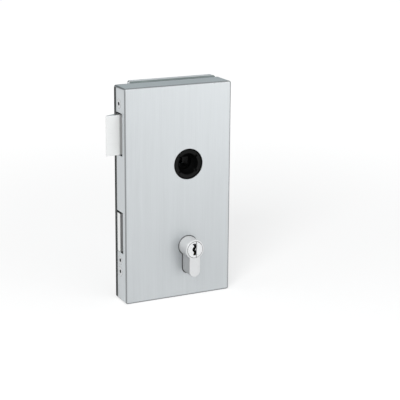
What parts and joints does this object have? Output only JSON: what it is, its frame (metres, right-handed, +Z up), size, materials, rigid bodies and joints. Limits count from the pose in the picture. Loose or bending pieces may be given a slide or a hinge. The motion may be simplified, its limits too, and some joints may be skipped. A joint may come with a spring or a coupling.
{
  "type": "glass door lock",
  "caption": "Flat satin steel lock case with a latch, a dead bolt, a lever hole and a profile cylinder, clamped to a glass door by a counter plate.",
  "frame": {"origin": "the lever's axis, where it crosses the glass face that the case lies on", "axes": "+Z up along the case's height, -X towards the strike, -Y out of the case's front face"},
  "size_m": [0.1095, 0.0565, 0.186],
  "materials": {
    "brushed_case": "satin stainless sheet with a fine upright grain",
    "dark_plate": "dark matt paint",
    "gasket_rubber": "matt black rubber sheet",
    "zinc_plate": "zinc plated sheet",
    "latch_nickel": "pale satin nickel plate",
    "bolt_nickel": "satin nickel plate",
    "cylinder_nickel": "brass with satin nickel plate",
    "plug_nickel": "brass with polished nickel plate",
    "bush_plastic": "black moulded nylon",
    "follower_steel": "dark sintered steel",
    "cam_steel": "plain steel",
    "pin_brass": "turned brass",
    "spring_steel": "drawn steel wire",
    "screw_steel": "bright zinc plate",
    "sleeve_aluminium": "turned aluminium"
  },
  "bodies": {
    "root": {"case_cover": "brushed_case", "base_plate": "dark_plate", "case_gasket": "gasket_rubber", "lock_plate": "zinc_plate", "lock_plate_screws": "screw_steel", "cover_screws": "screw_steel", "cylinder_screw": "screw_steel", "latch_spring": "spring_steel", "follower_spring": "spring_steel", "detent_spring": "spring_steel", "front_bush": "bush_plastic", "clamp_sleeves": "sleeve_aluminium", "clamp_screws": "screw_steel", "counter_gasket": "gasket_rubber", "counter_plate": "zinc_plate", "counter_cover": "brushed_case", "counter_grub_screws": "screw_steel", "rear_bush": "bush_plastic", "cylinder_body": "cylinder_nickel", "front_driver_pins": "pin_brass", "rear_driver_pins": "pin_brass", "front_pin_springs": "spring_steel", "rear_pin_springs": "spring_steel", "pin_bore_plugs": "pin_brass"},
    "latch": {"latch_bolt": "latch_nickel", "latch_rod": "screw_steel"},
    "follower": {"follower": "follower_steel"},
    "dead_bolt": {"dead_bolt": "bolt_nickel"},
    "front_plug": {"front_plug": "plug_nickel", "front_key_pins": "pin_brass", "front_circlip": "spring_steel"},
    "rear_plug": {"rear_plug": "plug_nickel", "rear_key_pins": "pin_brass", "rear_circlip": "spring_steel"},
    "cam": {"cam": "cam_steel", "cam_clutch": "pin_brass"}
  },
  "joints": [
    {"name": "follower_turn", "type": "hinge", "parent": "root", "child": "follower", "pos_m": [0, -0.0074, 0], "axis": [0, 1, 0], "range_deg": [0, 40], "stiffness_Nm_per_rad": 0.2, "springref_deg": -28.65, "deforming": ["follower_spring"]},
    {"name": "latch_slide", "type": "slide", "parent": "root", "child": "latch", "axis": [1, 0, 0], "range_m": [0, 0.0115], "stiffness_N_per_m": 250, "springref_m": -0.02, "deforming": ["latch_spring"]},
    {"name": "front_plug_turn", "type": "hinge", "parent": "root", "child": "front_plug", "pos_m": [0, -0.0225, -0.072], "axis": [0, -1, 0], "range_deg": [0, 360]},
    {"name": "cam_turn", "type": "hinge", "parent": "root", "child": "cam", "pos_m": [0, -0.0101, -0.072], "axis": [0, -1, 0], "range_deg": [0, 360]},
    {"name": "dead_bolt_slide", "type": "slide", "parent": "root", "child": "dead_bolt", "axis": [-1, 0, 0], "range_m": [0, 0.018], "deforming": ["detent_spring"]},
    {"name": "rear_plug_turn", "type": "hinge", "parent": "root", "child": "rear_plug", "pos_m": [0, 0.007, -0.072], "axis": [0, -1, 0], "range_deg": [0, 360]}
  ],
  "couplings": [
    {"joint": "follower_turn", "follows": "latch_slide", "rad_per_m": 60.7},
    {"joint": "front_plug_turn", "follows": "dead_bolt_slide", "rad_per_m": 349.06},
    {"joint": "cam_turn", "follows": "dead_bolt_slide", "rad_per_m": 349.06}
  ]
}
